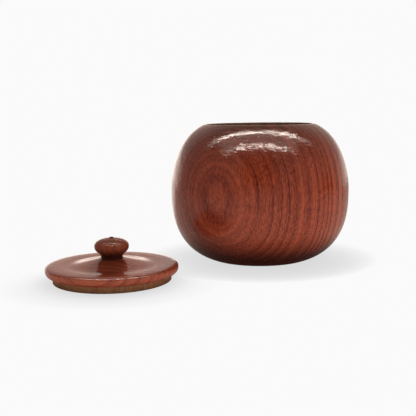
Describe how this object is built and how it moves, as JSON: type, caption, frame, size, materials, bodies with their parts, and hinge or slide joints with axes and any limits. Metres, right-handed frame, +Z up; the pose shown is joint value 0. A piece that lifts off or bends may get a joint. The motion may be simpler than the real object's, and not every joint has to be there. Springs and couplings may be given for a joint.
{
  "type": "go stone bowl",
  "caption": "Turned wooden bowl for board-game stones, round-bellied with an open mouth, with its knobbed lid lying beside it; the lid's spigot fits the mouth.",
  "frame": {"origin": "centre of the bowl's flat base, on the table", "axes": "+Z up along the bowl's axis; the lid lies on the table towards -X and -Y, spigot down"},
  "size_m": [0.242, 0.2066, 0.1136],
  "materials": {
    "bowl_wood": "red-brown turned hardwood under clear gloss lacquer, bare inside",
    "lid_wood": "red-brown hardwood under clear gloss lacquer, bare spigot",
    "knob_wood": "red-brown hardwood under clear satin to gloss lacquer",
    "dowel_wood": "dark end grain soaked with lacquer"
  },
  "bodies": {
    "bowl": {"bowl": "bowl_wood"},
    "lid": {"lid": "lid_wood", "knob": "knob_wood", "knob_dowel": "dowel_wood"}
  },
  "joints": [
    {"name": "lid_lift", "type": "slide", "parent": "bowl", "child": "lid", "axis": [0, 0, 1], "range_m": [0, 0.15]}
  ]
}
